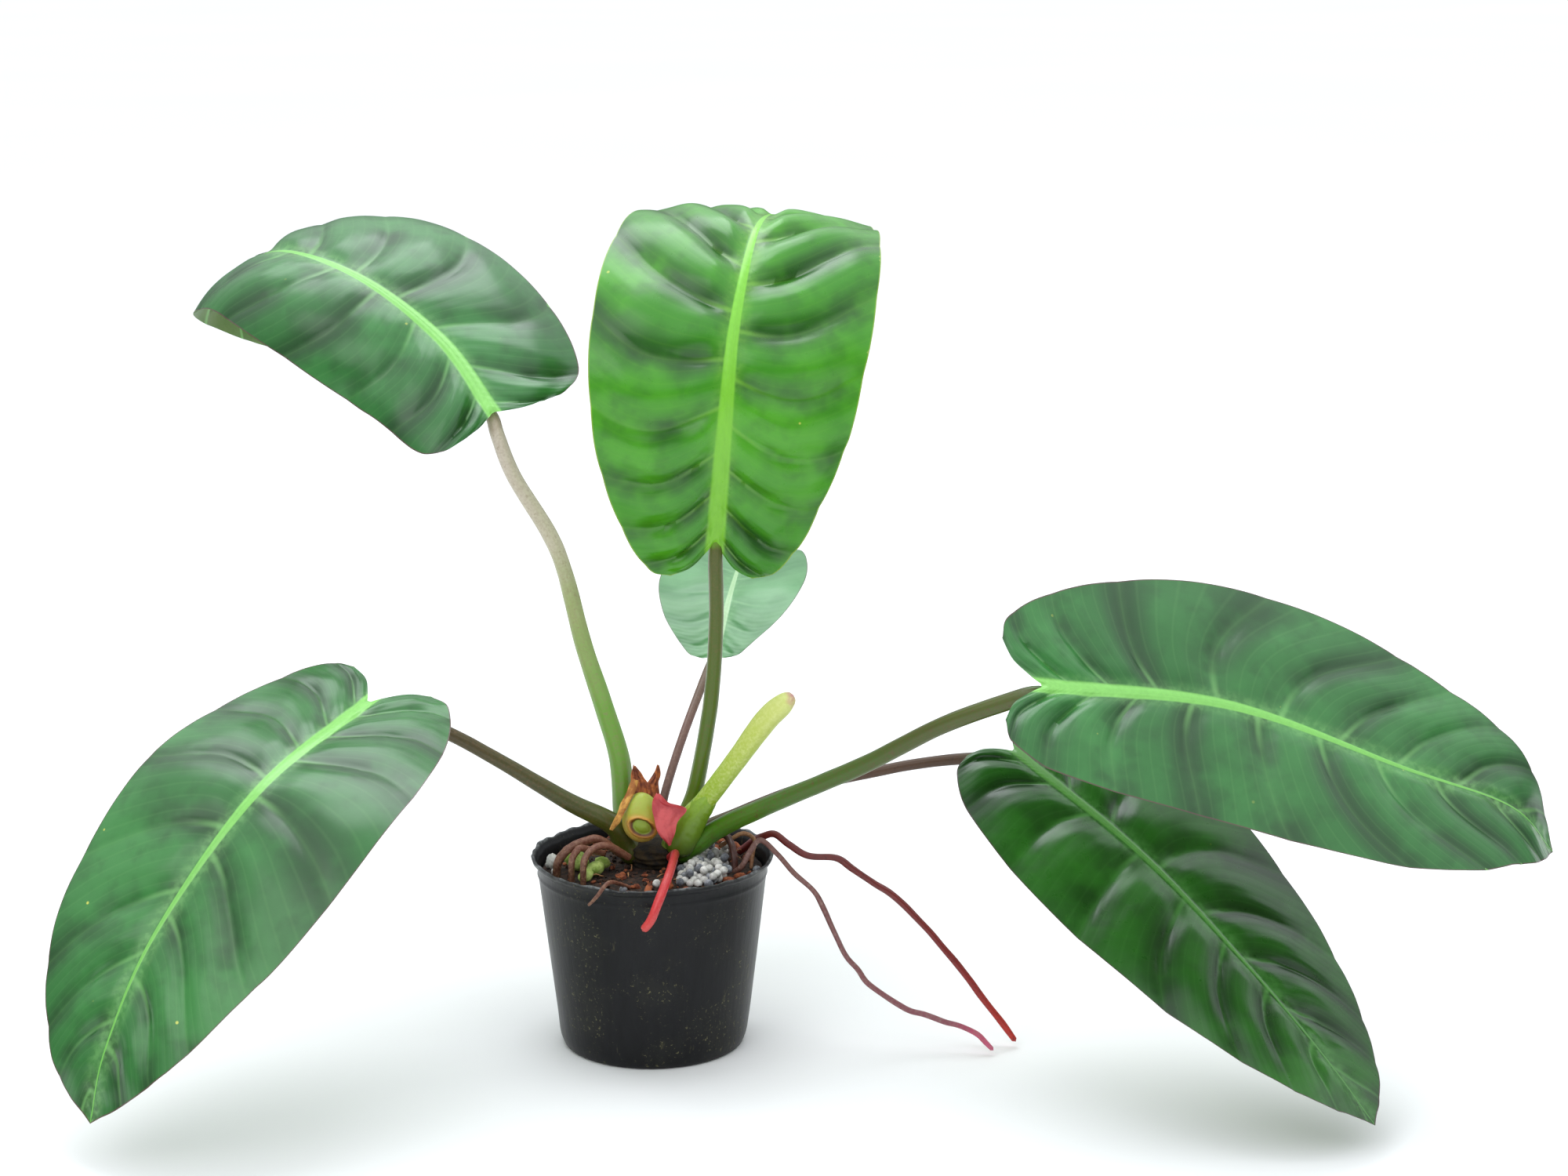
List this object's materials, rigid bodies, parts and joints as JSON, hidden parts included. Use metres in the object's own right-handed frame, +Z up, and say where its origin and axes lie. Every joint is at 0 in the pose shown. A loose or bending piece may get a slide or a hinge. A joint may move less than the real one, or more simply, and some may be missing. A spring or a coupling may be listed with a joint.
{
  "type": "potted philodendron",
  "caption": "Heart-leaved philodendron with large quilted glossy leaves on long petioles and hanging aerial roots, in a thin black nursery pot.",
  "frame": {"origin": "centre of the pot's flat underside, on the surface that the pot stands on", "axes": "+Z up; the longest leaf spread runs along X, with the low right leaf and the arched upper right leaf on +X and the low left leaf on -X; -Y is the plant's front, the side that most upper leaf faces look towards"},
  "size_m": [0.7007, 0.4302, 0.4101],
  "materials": {
    "nursery_pot": "satin",
    "potting_mix": "matte",
    "crown_tissue": "satin",
    "leaf_blade": "gloss",
    "young_leaf_blade": "gloss",
    "petiole": "satin",
    "pale_petiole": "satin",
    "spear_leaf": "satin",
    "bud": "satin",
    "cataphyll": "satin",
    "dry_sheath": "matte",
    "red_root": "satin",
    "aerial_root": "satin",
    "soil_root": "satin",
    "bark": "matte",
    "grit": "matte",
    "green_stone": "matte"
  },
  "bodies": {
    "root": {"aerial_root_lower": "aerial_root", "aerial_root_upper": "aerial_root", "bark_chip_back": "bark", "bark_chip_front": "bark", "bark_chip_left": "bark", "bark_chip_right": "bark", "blade_back_small": "leaf_blade", "blade_centre": "young_leaf_blade", "blade_low_left": "leaf_blade", "blade_low_right": "leaf_blade", "blade_upper_left": "leaf_blade", "blade_upper_right": "leaf_blade", "brown_root_inner": "soil_root", "brown_root_middle": "soil_root", "brown_root_outer": "soil_root", "crown_bud": "bud", "dark_root": "soil_root", "dry_sheath": "dry_sheath", "dry_strip": "dry_sheath", "green_stone_large": "green_stone", "green_stone_small": "green_stone", "grit_bead_01": "grit", "grit_bead_02": "grit", "grit_bead_03": "grit", "grit_bead_04": "grit", "grit_bead_05": "grit", "grit_bead_06": "grit", "grit_bead_07": "grit", "grit_bead_08": "grit", "grit_bead_09": "grit", "grit_bead_10": "grit", "grit_bead_11": "grit", "grit_bead_12": "grit", "new_leaf_spear": "spear_leaf", "nursery_pot": "nursery_pot", "petiole_back_small": "petiole", "petiole_centre": "petiole", "petiole_low_left": "petiole", "petiole_low_right": "petiole", "petiole_upper_left": "pale_petiole", "petiole_upper_right": "petiole", "potting_mix": "potting_mix", "red_cataphyll": "cataphyll", "red_root": "red_root", "rootlet_over_rim": "soil_root", "stem_crown": "crown_tissue", "tan_root": "soil_root", "white_chunk": "grit"}
  },
  "joints": []
}
